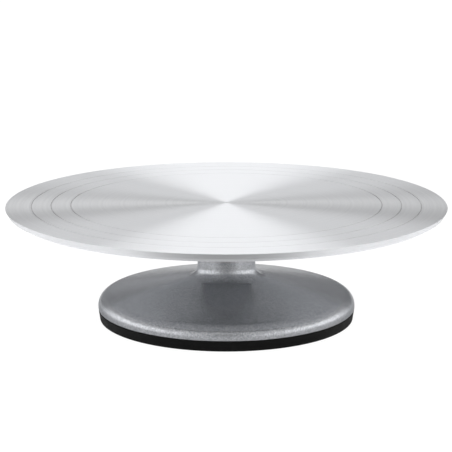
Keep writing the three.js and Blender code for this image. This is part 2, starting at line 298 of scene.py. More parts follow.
def arc(centre: tuple[float, float], radius: float, start: float, end: float, steps: int) -> Outline:
    """Points along an arc of an outline, both ends included.

    Args:
        centre: The arc's (radius, height) centre in millimetres.
        radius: The arc's own radius in millimetres.
        start: The first point's angle in degrees, from straight outwards towards up.
        end: The last point's angle in degrees.
        steps: How many chords it is made of.

    Returns:
        The points, first to last.
    """
    angles = [math.radians(start + (end - start) * i / steps) for i in range(steps + 1)]
    return [(centre[0] + radius * math.cos(a), centre[1] + radius * math.sin(a)) for a in angles]


def place_on_circle(radius: float, angle: float) -> tuple[float, float]:
    """The x and y of a point on a circle about the spin axis."""
    return radius * math.cos(angle), radius * math.sin(angle)


def spaced(count: int, start: float = 0.0) -> list[float]:
    """Angles of a repeated feature, evenly spaced about the spin axis.

    Args:
        count: How many there are.
        start: The first one's angle in radians.

    Returns:
        The angles in radians.
    """
    return [start + math.tau * i / count for i in range(count)]


@dataclass(frozen=True)
class Span:
    """The room that the frame gives a piece: its largest radius and its two heights, in millimetres."""

    radius: float
    low: float
    high: float

    @classmethod
    def of(cls, node: str) -> "Span":
        """Reads a node's room from the frame.

        Args:
            node: The CAD node's name.

        Returns:
            Its span about the spin axis.
        """
        low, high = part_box(node)
        return cls(radius=high[0] / MM, low=low[2] / MM, high=high[2] / MM)


# ---- Finishes ----------------------------------------------------------------------------------


class Board:
    """A material's node board, with short ways to place and join nodes."""

    def __init__(self, name: str) -> None:
        """Starts a material with a principled shader.

        Args:
            name: The material's name.
        """
        self.material = bpy.data.materials.new(name)
        self.material.use_nodes = True
        self.tree = self.material.node_tree
        self.shader = self.tree.nodes["Principled BSDF"]
        self.point = self.place("ShaderNodeTexCoord").outputs["Object"]

    def place(self, kind: str, settings: dict | None = None, **inputs: object) -> bpy.types.Node:
        """Adds a node.

        Args:
            kind: The node's type name.
            settings: Its properties, by name.
            **inputs: Its inputs by socket name, with spaces as underscores, or in0, in1 by place.
                A socket is linked and anything else is set.

        Returns:
            The node.
        """
        node = self.tree.nodes.new(kind)
        for key, value in (settings or {}).items():
            setattr(node, key, value)
        for key, value in inputs.items():
            place = int(key[2:]) if key[:2] == "in" and key[2:].isdigit() else key.replace("_", " ")
            self.feed(node.inputs[place], value)
        return node

    def feed(self, socket: bpy.types.NodeSocket, value: object) -> None:
        """Links or sets one input.

        Args:
            socket: The input.
            value: A socket to link, or a value to set.
        """
        if isinstance(value, bpy.types.NodeSocket):
            self.tree.links.new(value, socket)
        else:
            socket.default_value = value

    def sum(self, operation: str, *values: object) -> bpy.types.NodeSocket:
        """Adds a math node.

        Args:
            operation: The operation's name.
            *values: Its inputs, sockets or numbers.

        Returns:
            The result.
        """
        inputs = {f"in{i}": value for i, value in enumerate(values)}
        return self.place("ShaderNodeMath", {"operation": operation}, **inputs).outputs[0]

    def vector(self, operation: str, *values: object) -> bpy.types.Node:
        """Adds a vector math node.

        Args:
            operation: The operation's name.
            *values: Its inputs, sockets or vectors.

        Returns:
            The node, whose output depends on the operation.
        """
        inputs = {f"in{i}": value for i, value in enumerate(values)}
        return self.place("ShaderNodeVectorMath", {"operation": operation}, **inputs)

    def spread(
        self, value: object, low: float, high: float, to_low: float, to_high: float
    ) -> bpy.types.NodeSocket:
        """Maps one range of a value smoothly on to another.

        Args:
            value: The socket to map.
            low: Where the range starts.
            high: Where it ends.
            to_low: The result at low.
            to_high: The result at high.

        Returns:
            The mapped value.
        """
        node = self.place(
            "ShaderNodeMapRange",
            {"interpolation_type": "SMOOTHSTEP"},
            in0=value,
            in1=low,
            in2=high,
            in3=to_low,
            in4=to_high,
        )
        return node.outputs[0]

    def blend(self, share: object, first: object, second: object) -> bpy.types.NodeSocket:
        """Mixes two colours.

        Args:
            share: How much of the second one there is.
            first: A colour or a socket.
            second: A colour or a socket.

        Returns:
            The mixed colour.
        """
        node = self.place("ShaderNodeMix", {"data_type": "RGBA"})
        for place, value in ((0, share), (6, first), (7, second)):
            self.feed(node.inputs[place], opaque(value))
        return node.outputs[2]

    def noise(self, scale: float, detail: float = 2.0, roughness: float = 0.5) -> bpy.types.NodeSocket:
        """Adds a noise on the piece's own coordinates.

        Args:
            scale: Its scale, per metre.
            detail: How many finer layers it has.
            roughness: How strong the finer layers are.

        Returns:
            The noise's value.
        """
        node = self.place(
            "ShaderNodeTexNoise", Vector=self.point, Scale=scale, Detail=detail, Roughness=roughness
        )
        return node.outputs[0]

    def from_axis(self) -> bpy.types.NodeSocket:
        """The vector from the spin axis to the point, level with it."""
        return self.vector("MULTIPLY", self.point, (1, 1, 0)).outputs[0]

    def along_profile(self) -> bpy.types.NodeSocket:
        """A length that grows across both flat and upright turned faces, for marks that run round."""
        radius = self.vector("LENGTH", self.from_axis()).outputs["Value"]
        height = self.place("ShaderNodeSeparateXYZ", Vector=self.point).outputs["Z"]
        return self.sum("ADD", radius, height)

    def rings(self, pitch: float, detail: float = 1.0) -> bpy.types.NodeSocket:
        """Adds turning marks that run round the spin axis.

        Args:
            pitch: The distance between marks, in millimetres.
            detail: How many finer layers they have.

        Returns:
            The marks' height, from 0 to 1.
        """
        place = self.sum("MULTIPLY", self.along_profile(), 1 / (pitch * MM))
        node = self.place(
            "ShaderNodeTexNoise", {"noise_dimensions": "1D"}, W=place, Scale=1.0, Detail=detail
        )
        return node.outputs[0]

    def brush_round(self) -> None:
        """Stretches the highlights across marks that run round the spin axis."""
        across = self.place(
            "ShaderNodeVectorTransform",
            {"vector_type": "VECTOR", "convert_from": "OBJECT", "convert_to": "WORLD"},
            Vector=self.from_axis(),
        )
        self.feed(self.shader.inputs["Tangent"], across.outputs[0])

    def bump(self, height: object, depth: float, strength: float = 1.0) -> bpy.types.NodeSocket:
        """Turns a height into a bump.

        Args:
            height: The height, from 0 to 1.
            depth: How deep it is, in millimetres.
            strength: How much of it is used.

        Returns:
            The bumped normal.
        """
        node = self.place("ShaderNodeBump", Strength=strength, Distance=depth * MM, Height=height)
        return node.outputs[0]

    def set(self, **inputs: object) -> bpy.types.Material:
        """Sets the shader's own sockets, by name with spaces as underscores.

        Args:
            **inputs: A socket to link, or a value to set.

        Returns:
            The finished material.
        """
        for key, value in inputs.items():
            self.feed(self.shader.inputs[key.replace("_", " ")], opaque(value))
        return self.material


def opaque(value: object) -> object:
    """Gives a three-part colour its alpha, and leaves anything else as it is."""
    return (*value, 1.0) if isinstance(value, tuple) and len(value) == 3 else value


@dataclass(frozen=True)
class TurnedAluminium:
    """Bare aluminium with circular turning marks, and painted shade darkening its guide rings."""

    slot: Slot = Slot.TURNED_ALUMINIUM
    colour: Colour = (0.90, 0.91, 0.93)
    trough: Colour = (0.80, 0.81, 0.83)
    # painted shade: the darker colour laid in the guide rings, where shade falls
    groove: Colour = (0.65, 0.65, 0.66)
    roughness: float = 0.42
    anisotropy: float = 1.0
    feed_pitch: float = 0.22
    band_pitch: float = 1.7

    def make(self) -> bpy.types.Material:
        """Builds the material."""
        board = Board(self.slot.value)
        fine = board.rings(self.feed_pitch)
        bands = board.rings(self.band_pitch, detail=2.0)
        worn = board.spread(bands, 0.3, 0.7, 0.0, 0.25)
        metal = board.blend(worn, self.colour, self.trough)
        board.brush_round()
        return board.set(
            # painted shade: the guide rings take the darker groove colour
            Base_Color=board.blend(self.sunk(board), metal, self.groove),
            Metallic=1.0,
            Roughness=board.spread(bands, 0.25, 0.75, self.roughness - 0.02, self.roughness + 0.02),
            Anisotropic=self.anisotropy,
            Normal=board.bump(fine, 0.004, 0.25),
        )

    def sunk(self, board: Board) -> bpy.types.NodeSocket:
        """Finds the guide rings, which are painted darker as painted shade.

        Args:
            board: The board to work on.

        Returns:
            1 in the rings just below the plate's top, and 0 elsewhere.
        """
        top = Span.of("turntable_plate")
        height = board.place("ShaderNodeSeparateXYZ", Vector=board.point).outputs["Z"]
        radius = board.vector("LENGTH", board.from_axis()).outputs["Value"]
        low = board.spread(height, (top.high - 0.6) * MM, (top.high - 0.5) * MM, 0.0, 1.0)
        high = board.spread(height, (top.high - 0.2) * MM, (top.high - 0.02) * MM, 1.0, 0.0)
        inside = board.spread(radius, (top.radius - 4) * MM, (top.radius - 2) * MM, 1.0, 0.0)
        # the painted shade's mask: just below the plate's top, inside its rim
        return board.sum("MULTIPLY", board.sum("MULTIPLY", low, high), inside)


@dataclass(frozen=True)
class SilverPaint:
    """Glossy silver metallic paint, with a fine grain that glitters where the light changes."""

    slot: Slot = Slot.SILVER_PAINT
    colour: Colour = (0.51, 0.52, 0.54)
    dark: Colour = (0.36, 0.37, 0.39)
    metallic: float = 0.75
    grain: float = 0.8
    grain_depth: float = 0.07
    roughness: float = 0.17
    edge: Colour = (0.50, 0.51, 0.53)

    def make(self) -> bpy.types.Material:
        """Builds the material."""
        board = Board(self.slot.value)
        flakes = board.place("ShaderNodeTexVoronoi", Vector=board.point, Scale=1 / (self.grain * MM))
        grey = board.place("ShaderNodeSeparateColor", Color=flakes.outputs["Color"]).outputs[0]
        grain = board.noise(1 / (self.grain * MM), 2.0, 0.6)
        cloud = board.noise(60.0, 3.0)
        return board.set(
            Base_Color=board.blend(grey, self.colour, self.dark),
            Metallic=self.metallic,
            Roughness=board.spread(cloud, 0.3, 0.7, self.roughness - 0.02, self.roughness + 0.02),
            Specular_Tint=(*self.edge, 1.0),
            Normal=board.bump(grain, self.grain_depth),
        )


@dataclass(frozen=True)
class MachinedAluminium:
    """Cast aluminium that has been faced on a lathe."""

    slot: Slot = Slot.CAST_ALUMINIUM
    colour: Colour = (0.72, 0.73, 0.74)
    trough: Colour = (0.60, 0.61, 0.62)

    def make(self) -> bpy.types.Material:
        """Builds the material."""
        board = Board(self.slot.value)
        rings = board.rings(0.35, 2.0)
        board.brush_round()
        return board.set(
            Base_Color=board.blend(board.spread(rings, 0.3, 0.7, 0.0, 1.0), self.colour, self.trough),
            Metallic=1.0,
            Roughness=board.spread(board.noise(400.0), 0.3, 0.7, 0.3, 0.42),
            Anisotropic=0.7,
            Normal=board.bump(rings, 0.012, 0.6),
        )


@dataclass(frozen=True)
class MouldedRubber:
    """Black rubber with the fine texture of its mould."""

    slot: Slot = Slot.RUBBER
    colour: Colour = (0.0035, 0.0037, 0.0036)
    bloom: Colour = (0.006, 0.0063, 0.0062)

    def make(self) -> bpy.types.Material:
        """Builds the material."""
        board = Board(self.slot.value)
        pebble = board.noise(2600.0, 2.0, 0.6)
        cloud = board.noise(90.0, 3.0)
        return board.set(
            Base_Color=board.blend(board.spread(cloud, 0.35, 0.7, 0.0, 1.0), self.colour, self.bloom),
            Roughness=board.spread(cloud, 0.3, 0.7, 0.52, 0.66),
            Specular_IOR_Level=0.12,
            Normal=board.bump(pebble, 0.05, 0.35),
        )


@dataclass(frozen=True)
class PlatedSteel:
    """Turned or pressed steel with a thin zinc plating."""

    slot: Slot = Slot.PLAIN_STEEL
    colour: Colour = (0.60, 0.61, 0.62)
    tint: Colour = (0.56, 0.55, 0.50)

    def make(self) -> bpy.types.Material:
        """Builds the material."""
        board = Board(self.slot.value)
        rings = board.rings(0.18)
        cloud = board.noise(160.0, 3.0)
        board.brush_round()
        return board.set(
            Base_Color=board.blend(board.spread(cloud, 0.35, 0.7, 0.0, 0.7), self.colour, self.tint),
            Metallic=1.0,
            Roughness=board.spread(cloud, 0.3, 0.7, 0.26, 0.36),
            Anisotropic=0.5,
            Normal=board.bump(rings, 0.004, 0.5),
        )


@dataclass(frozen=True)
class BearingSteel:
    """Ground and polished bearing steel under a film of oil."""

    slot: Slot = Slot.BEARING_STEEL
    colour: Colour = (0.70, 0.71, 0.72)
    trough: Colour = (0.62, 0.63, 0.64)

    def make(self) -> bpy.types.Material:
        """Builds the material."""
        board = Board(self.slot.value)
        rings = board.rings(0.09)
        return board.set(
            Base_Color=board.blend(board.spread(rings, 0.3, 0.7, 0.0, 1.0), self.colour, self.trough),
            Metallic=1.0,
            Roughness=board.spread(board.noise(300.0), 0.3, 0.7, 0.08, 0.16),
            Coat_Weight=0.25,
            Coat_Roughness=0.05,
            Normal=board.bump(rings, 0.001, 0.4),
        )


@dataclass(frozen=True)
class NaturalNylon:
    """Undyed moulded nylon, slightly see-through at its edges."""

    slot: Slot = Slot.NYLON
    colour: Colour = (0.78, 0.73, 0.60)
    pale: Colour = (0.84, 0.80, 0.70)

    def make(self) -> bpy.types.Material:
        """Builds the material."""
        board = Board(self.slot.value)
        cloud = board.noise(220.0, 3.0)
        return board.set(
            Base_Color=board.blend(board.spread(cloud, 0.3, 0.7, 0.0, 1.0), self.colour, self.pale),
            Roughness=board.spread(cloud, 0.3, 0.7, 0.4, 0.5),
            Subsurface_Weight=0.15,
            Subsurface_Scale=0.001,
            Normal=board.bump(board.noise(1800.0), 0.01, 0.3),
        )


@dataclass(frozen=True)
class BlackPlastic:
    """Black plastic with a spark-eroded mould texture."""

    slot: Slot = Slot.BLACK_PLASTIC
    colour: Colour = (0.014, 0.014, 0.015)
    pale: Colour = (0.024, 0.024, 0.025)

    def make(self) -> bpy.types.Material:
        """Builds the material."""
        board = Board(self.slot.value)
        spark = board.noise(2200.0, 2.0, 0.7)
        return board.set(
            Base_Color=board.blend(board.spread(spark, 0.3, 0.7, 0.0, 1.0), self.colour, self.pale),
            Roughness=board.spread(spark, 0.3, 0.7, 0.42, 0.56),
            Normal=board.bump(spark, 0.04, 0.4),
        )


class Finishes:
    """Every finish, each made once."""

    def __init__(self) -> None:
        """Makes the materials."""
        kinds = (
            TurnedAluminium,
            SilverPaint,
            MachinedAluminium,
            MouldedRubber,
            PlatedSteel,
            BearingSteel,
            NaturalNylon,
            BlackPlastic,
        )
        self.materials = {finish.slot: finish.make() for finish in (kind() for kind in kinds)}

    def dress(self, piece: bpy.types.Object, slot: Slot) -> None:
        """Gives a piece its finish.

        Args:
            piece: The finished mesh.
            slot: Which finish it has.
        """
        piece.data.materials.clear()
        piece.data.materials.append(self.materials[slot])


def fit(piece: bpy.types.Object, body: Body, node: str) -> bpy.types.Object:
    """Puts a piece on its body, in place of the CAD node that it stands for.

    Args:
        piece: The finished piece.
        body: The body it moves with.
        node: The CAD node it replaces.

    Returns:
        The piece.
    """
    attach(piece, body.value)
    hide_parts(node)
    return piece


# ---- Sub-assemblies ----------------------------------------------------------------------------


@dataclass
class TurntablePlate:
    """The turned plate that the cake stands on."""

    finishes: Finishes
    room: Span = field(default_factory=lambda: Span.of("turntable_plate"))
    hub: Span = field(default_factory=lambda: Span.of("hub_flange"))
    screw: Span = field(default_factory=lambda: Span.of("plate_screw_1"))
    knee_inset: float = 2.0
    knee_drop: float = 3.8
    foot_inset: float = 6.2
    edge_break: float = 0.25
    ring_radii: tuple[float, ...] = (134.6, 121.1, 107.6)
    ring_width: float = 0.9
    ring_depth: float = 0.4
    dimple_radius: float = 1.1
    dimple_depth: float = 0.6
    recess_gap: float = 0.15
    hole_radius: float = 2.55
    hole_circle: float = 34.0
    hole_count: int = 4
    drill_start: float = 3.0
    ceiling_centre: float = 1.0

    def outline(self) -> Outline:
        """The plate's section, from the recess under its middle round to the dimple on top."""
        top, under, radius = self.room.high, self.room.low, self.room.radius
        ceiling = self.hub.high + self.recess_gap
        recess = self.hub.radius + self.recess_gap
        points = [
            (self.ceiling_centre, ceiling),
            (recess, ceiling),
            (recess, under),
            (radius - self.foot_inset, under),
            (radius - self.knee_inset, top - self.knee_drop),
            (radius, top - self.edge_break),
            (radius - self.edge_break, top),
        ]
        for ring in self.ring_radii:
            points.append((ring + self.ring_width / 2, top))
            points.append((ring, top - self.ring_depth))
            points.append((ring - self.ring_width / 2, top))
        points.append((self.dimple_radius, top))
        points.append((AXIS, top - self.dimple_depth))
        return points

    def build(self) -> list[bpy.types.Object]:
        """Builds the plate.

        Returns:
            The one piece.
        """
        plate = turn("plate", self.outline(), Sides.PLATE, Ends.CAPPED)
        soften(plate, 0.09, segments=3, angle=20.0)
        top = self.screw.high + 2 * self.recess_gap
        sides = Sides.FASTENER.value
        for angle in spaced(self.hole_count, math.pi / 4):
            at = place_on_circle(self.hole_circle, angle)
            drill = cylinder(self.hole_radius, self.hub.high - self.drill_start, top, sides, at)
            combine(plate, drill, Cut.AWAY)
        self.finishes.dress(plate, Slot.TURNED_ALUMINIUM)
        return [fit(plate, Body.TURNTABLE, "turntable_plate")]


@dataclass
class Hub:
    """The flange under the plate and the four screws that hold it there."""

    finishes: Finishes
    room: Span = field(default_factory=lambda: Span.of("hub_flange"))
    spindle: Span = field(default_factory=lambda: Span.of("spindle"))
    thickness: float = 5.0
    boss_radius: float = 20.2
    bore: float = 8.75
    seat_gap: float = 0.15
    seat_depth: float = 2.15
    hole_radius: float = 2.7
    circle: float = 34.0
    count: int = 4
    head: float = 4.6
    head_height: float = 3.0
    head_round: float = 1.6
    shank: float = 2.4
    thread_depth: float = 0.35
    thread_pitch: float = 0.8
    point: float = 0.4
    socket_radius: float = 1.75
    socket_depth: float = 1.6

    def flange(self) -> bpy.types.Object:
        """Turns the flange and drills its screw holes."""
        under = self.room.high - self.thickness
        seat = self.spindle.radius + self.seat_gap
        outline = [
            (self.bore, self.room.low),
            (self.boss_radius, self.room.low),
            (self.boss_radius, under),
            (self.room.radius, under),
            (self.room.radius, self.room.high),
            (seat, self.room.high),
            (seat, self.room.high - self.seat_depth),
            (self.bore, self.room.high - self.seat_depth),
        ]
        flange = turn("hub", outline, Sides.CASTING)
        soften(flange, 0.5)
        sides = Sides.FASTENER.value
        for angle in spaced(self.count, math.pi / 4):
            at = place_on_circle(self.circle, angle)
            drill = cylinder(self.hole_radius, under - OVERSHOOT, self.room.high + OVERSHOOT, sides, at)
            combine(flange, drill, Cut.AWAY)
        self.finishes.dress(flange, Slot.CAST_ALUMINIUM)
        return fit(flange, Body.TURNTABLE, "hub_flange")

    def screw(self) -> bpy.types.Object:
        """Turns one button-head screw on the spin axis, with its threads and its hexagon socket."""
        room = Span.of("plate_screw_1")
        seat = room.low + self.head_height
        turns = int((room.high - self.room.high) / self.thread_pitch)
        outline = [(AXIS, room.low)]
        round_centre = (self.head - self.head_round, room.low + self.head_round)
        outline += arc(round_centre, self.head_round, -90, 0, 8)
        outline += [(self.head, seat), (self.shank, seat)]
        for i in range(turns):
            start = self.room.high + i * self.thread_pitch
            outline.append((self.shank, start))
            outline.append((self.shank - self.thread_depth, start + self.thread_pitch / 2))
        tip = self.shank - self.point
        outline += [(self.shank, room.high - self.point), (tip, room.high), (AXIS, room.high)]
        screw = turn("screw", outline, Sides.FASTENER, Ends.CAPPED)
        key = cylinder(self.socket_radius, room.low - OVERSHOOT, room.low + self.socket_depth, 6)
        combine(screw, key, Cut.AWAY)
        soften(screw, 0.06, segments=2)
        return screw

    def screws(self) -> list[bpy.types.Object]:
        """Copies the screw to its four holes."""
        pattern = self.screw()
        pattern.location = (self.circle * MM, 0, 0)
        settle(pattern)
        pieces = []
        for i, angle in enumerate(spaced(self.count, math.pi / 4), 1):
            piece = copy_turned(pattern, f"screw_{i}", angle)
            self.finishes.dress(piece, Slot.PLAIN_STEEL)
            pieces.append(fit(piece, Body.TURNTABLE, f"plate_screw_{i}"))
        bpy.data.objects.remove(pattern, do_unlink=True)
        return pieces

    def build(self) -> list[bpy.types.Object]:
        """Builds the flange and its screws.

        Returns:
            The pieces.
        """
        return [self.flange(), *self.screws()]


@dataclass
class SpindleStack:
    """The spindle, with the spacer, washer and nut that are clamped on it."""

    finishes: Finishes
    room: Span = field(default_factory=lambda: Span.of("spindle"))
    spacer: Span = field(default_factory=lambda: Span.of("bearing_spacer"))
    washer: Span = field(default_factory=lambda: Span.of("spindle_washer"))
    nut: Span = field(default_factory=lambda: Span.of("spindle_nut"))
    flange_thickness: float = 2.0
    body: float = 8.6
    shaft: float = 5.85
    thread: float = 4.9
    thread_depth: float = 0.75
    thread_pitch: float = 1.5
    bore: float = 6.0
    washer_bore: float = 5.3
    across_flats: float = 17.0
    centre_hole: float = 1.4
    centre_depth: float = 2.2
    runout: float = 1.4
    undercut: float = 0.35

    def spindle(self) -> bpy.types.Object:
        """Turns the spindle, from the centre hole in its threaded end up to its flange."""
        shoulder = Span.of("upper_bearing_inner_ring").high
        thread_top = self.washer.high
        turns = int((thread_top - self.room.low - 1.5) / self.thread_pitch)
        outline = [
            (AXIS, self.room.low + self.centre_depth),
            (self.centre_hole, self.room.low),
            (self.thread - 0.9, self.room.low),
        ]
        for i in range(turns):
            start = self.room.low + 1.0 + i * self.thread_pitch
            outline.append((self.thread, start))
            outline.append((self.thread - self.thread_depth, start + self.thread_pitch / 2))
        outline += [
            (self.thread, thread_top),
            (self.shaft, thread_top + self.runout),
            (self.shaft, shoulder - 1.2),
            (self.shaft - self.undercut, shoulder - 1.0),
            (self.shaft - self.undercut, shoulder),
            (self.body, shoulder),
            (self.body, self.room.high - self.flange_thickness),
            (self.room.radius, self.room.high - self.flange_thickness),
            (self.room.radius, self.room.high),
            (self.centre_hole, self.room.high),
            (AXIS, self.room.high - self.centre_depth),
        ]
        spindle = turn("axle", outline, Sides.INNER, Ends.CAPPED)
        soften(spindle, 0.12)
        self.finishes.dress(spindle, Slot.PLAIN_STEEL)
        return fit(spindle, Body.TURNTABLE, "spindle")

    def sleeve(self) -> bpy.types.Object:
        """Turns the spacer between the two inner rings."""
        outline = ring_outline(self.bore, self.spacer.radius, self.spacer.low, self.spacer.high)
        sleeve = turn("spacer_sleeve", outline, Sides.INNER)
        soften(sleeve, 0.4)
        self.finishes.dress(sleeve, Slot.CAST_ALUMINIUM)
        return fit(sleeve, Body.TURNTABLE, "bearing_spacer")

    def clamp_washer(self) -> bpy.types.Object:
        """Turns the washer, with the rounded edges of a stamped one."""
        outline = ring_outline(self.washer_bore, self.washer.radius, self.washer.low, self.washer.high)
        washer = turn("clamp_washer", outline, Sides.INNER)
        soften(washer, 0.35, segments=4)
        self.finishes.dress(washer, Slot.PLAIN_STEEL)
        return fit(washer, Body.TURNTABLE, "spindle_washer")

    def clamp_nut(self) -> bpy.types.Object:
        """Makes the hexagon nut: a prism, a turned chamfer at both ends and a bore."""
        flat = self.across_flats / 2
        corner = flat / math.cos(math.radians(30))
        beyond = corner + 0.5
        rise = (beyond - flat) * math.tan(math.radians(30))
        low, high = self.nut.low, self.nut.high
        chamfer = [(AXIS, low), (flat, low), (beyond, low + rise)]
        chamfer += [(beyond, high - rise), (flat, high), (AXIS, high)]
        nut = cylinder(corner, low, high, 6)
        nut.name = "clamp_nut"
        nut.data.name = nut.name
        nut.rotation_euler = (0, 0, math.radians(30))
        settle(nut)
        combine(nut, turn("chamfer", chamfer, Sides.INNER, Ends.CAPPED), Cut.SHARED)
        drill = cylinder(self.thread + 0.1, low - OVERSHOOT, high + OVERSHOOT, Sides.FASTENER.value)
        combine(nut, drill, Cut.AWAY)
        point_outwards(nut)
        soften(nut, 0.15)
        self.finishes.dress(nut, Slot.PLAIN_STEEL)
        return fit(nut, Body.TURNTABLE, "spindle_nut")

    def build(self) -> list[bpy.types.Object]:
        """Builds the spindle and what is clamped on it.

        Returns:
            The pieces.
        """
        return [self.spindle(), self.sleeve(), self.clamp_washer(), self.clamp_nut()]


def ring_outline(inner: float, outer: float, low: float, high: float) -> Outline:
    """The section of a plain ring.

    Args:
        inner: Its bore's radius in millimetres.
        outer: Its outer radius in millimetres.
        low: Its underside's height in millimetres.
        high: Its top's height in millimetres.

    Returns:
        The four corners.
    """
    return [(inner, low), (outer, low), (outer, high), (inner, high)]


@dataclass
class BallBearing:
    """One shielded deep-groove ball bearing, in the nodes that start with its prefix."""

    finishes: Finishes
    prefix: str
    rolling: Body
    start: float
    outer: Span = field(init=False)
    bore: float = 6.0
    pitch: float = 11.1
    ball: float = 2.976
    balls: int = 7
    inner_land: float = 9.1
    outer_land: float = 13.3
    race: float = 3.08
    shield_inner: float = 9.5
    shield_outer: float = 14.3
    shield_thickness: float = 0.45
    shield_inset: float = 0.25
    shield_dish: float = 0.18
    cage_inner: float = 10.0
    cage_outer: float = 12.4
    cage_low: float = -4.0
    cage_high: float = 1.5
    pocket_gap: float = 0.12

    def __post_init__(self) -> None:
        """Reads where the frame holds the bearing."""
        self.outer = Span.of(f"{self.prefix}_bearing_outer_ring")

    @property
    def middle(self) -> float:
        """The height of the ball centres, in millimetres."""
        return (self.outer.low + self.outer.high) / 2

    def race_arc(self, land: float, side: int) -> Outline:
        """The race groove in a ring's land, from its lower edge up or its upper edge down.

        Args:
            land: The land's radius in millimetres.
            side: 1 for the outer ring's groove, -1 for the inner ring's.

        Returns:
            The groove's points.
        """
        opening = math.degrees(math.acos(abs(land - self.pitch) / self.race))
        centre = (self.pitch, self.middle)
        if side > 0:
            return arc(centre, self.race, opening, -opening, 16)
        return arc(centre, self.race, 180 + opening, 180 - opening, 16)

    def finish_ring(self, ring: bpy.types.Object, body: Body, node: str, slot: Slot) -> bpy.types.Object:
        """Dresses one of the bearing's pieces and puts it on its body.

        Args:
            ring: The finished mesh.
            body: The body it moves with.
            node: The node's name without the prefix.
            slot: Its finish.

        Returns:
            The piece.
        """
        self.finishes.dress(ring, slot)
        return fit(ring, body, f"{self.prefix}_{node}")

    def inner_ring(self) -> bpy.types.Object:
        """Turns the inner ring."""
        low, high = self.outer.low, self.outer.high
        outline = [(self.bore, low), (self.inner_land, low), *self.race_arc(self.inner_land, -1)]
        outline += [(self.inner_land, high), (self.bore, high)]
        ring = turn(f"{self.prefix}_inner_race", outline, Sides.INNER)
        soften(ring, 0.3)
        return self.finish_ring(ring, Body.TURNTABLE, "bearing_inner_ring", Slot.BEARING_STEEL)

    def outer_ring(self) -> bpy.types.Object:
        """Turns the outer ring, with the steps that its shields snap into."""
        low, high = self.outer.low, self.outer.high
        step = self.shield_inset + self.shield_thickness + 0.05
        groove = self.shield_outer + 0.1
        outline = [(groove, low), (self.outer.radius, low), (self.outer.radius, high), (groove, high)]
        outline += [(groove, high - step), (self.outer_land, high - step)]
        outline += self.race_arc(self.outer_land, 1)
        outline += [(self.outer_land, low + step), (groove, low + step)]
        ring = turn(f"{self.prefix}_outer_race", outline, Sides.INNER)
        soften(ring, 0.3)
        return self.finish_ring(ring, Body.BASE, "bearing_outer_ring", Slot.BEARING_STEEL)

    def shield(self, face: Face) -> bpy.types.Object:
        """Turns a pressed shield, with a shallow bead near its bore.

        Args:
            face: Which face of the bearing it closes.

        Returns:
            The piece.
        """
        room = Span.of(f"{self.prefix}_bearing_{face.value}_shield")
        inwards = -1 if face is Face.TOP else 1
        outside = room.high if face is Face.TOP else room.low
        inside = outside + inwards * self.shield_thickness
        dish = inwards * self.shield_dish
        outline = [
            (self.shield_inner, outside + dish),
            (self.shield_inner + 0.9, outside + dish),
            (self.shield_inner + 1.3, outside),
            (self.shield_outer, outside),
            (self.shield_outer, inside),
            (self.shield_inner, inside),
        ]
        shield = turn(f"{self.prefix}_{face.value}_cover", outline, Sides.INNER)
        soften(shield, 0.06, segments=2, angle=20.0)
        return self.finish_ring(shield, Body.BASE, f"bearing_{face.value}_shield", Slot.PLAIN_STEEL)

    def pocket(self, angle: float) -> bpy.types.Object:
        """Makes the ball-shaped tool for one of the cage's pockets.

        Args:
            angle: Where the pocket is, in radians.

        Returns:
            The tool, at the origin.
        """
        clear_selection()
        centre = (self.pitch * math.cos(angle) * MM, self.pitch * math.sin(angle) * MM, self.middle * MM)
        radius = (self.ball + self.pocket_gap) * MM
        bpy.ops.mesh.primitive_uv_sphere_add(segments=40, ring_count=20, radius=radius, location=centre)
        tool = bpy.context.object
        settle(tool)
        return tool

    def cage(self) -> bpy.types.Object:
        """Makes the snap-in cage: a ring with a pocket cut for each ball."""
        low, high = self.middle + self.cage_low, self.middle + self.cage_high
        outline = ring_outline(self.cage_inner, self.cage_outer, low, high)
        cage = turn(f"{self.prefix}_crown", outline, Sides.INNER)
        soften(cage, 0.25)
        for angle in spaced(self.balls, self.start):
            combine(cage, self.pocket(angle), Cut.AWAY)
        pick(cage)
        bpy.ops.object.shade_smooth_by_angle(angle=math.radians(30))
        return self.finish_ring(cage, self.rolling, "bearing_cage", Slot.NYLON)

    def rolling_balls(self) -> list[bpy.types.Object]:
        """Makes one ball on the pitch circle and copies it round."""
        clear_selection()
        centre = (self.pitch * MM, 0, self.middle * MM)
        bpy.ops.mesh.primitive_ico_sphere_add(subdivisions=4, radius=self.ball * MM, location=centre)
        pattern = bpy.context.object
        settle(pattern)
        bpy.ops.object.shade_smooth()
        pieces = []
        for i, angle in enumerate(spaced(self.balls, self.start), 1):
            ball = copy_turned(pattern, f"{self.prefix}_roller_{i}", angle)
            pieces.append(self.finish_ring(ball, self.rolling, f"ball_{i}", Slot.BEARING_STEEL))
        bpy.data.objects.remove(pattern, do_unlink=True)
        return pieces

    def build(self) -> list[bpy.types.Object]:
        """Builds the bearing.

        Returns:
            Its rings, shields, cage and balls.
        """
        return [
            self.inner_ring(),
            self.outer_ring(),
            self.shield(Face.TOP),
            self.shield(Face.BOTTOM),
            self.cage(),
            *self.rolling_balls(),
        ]


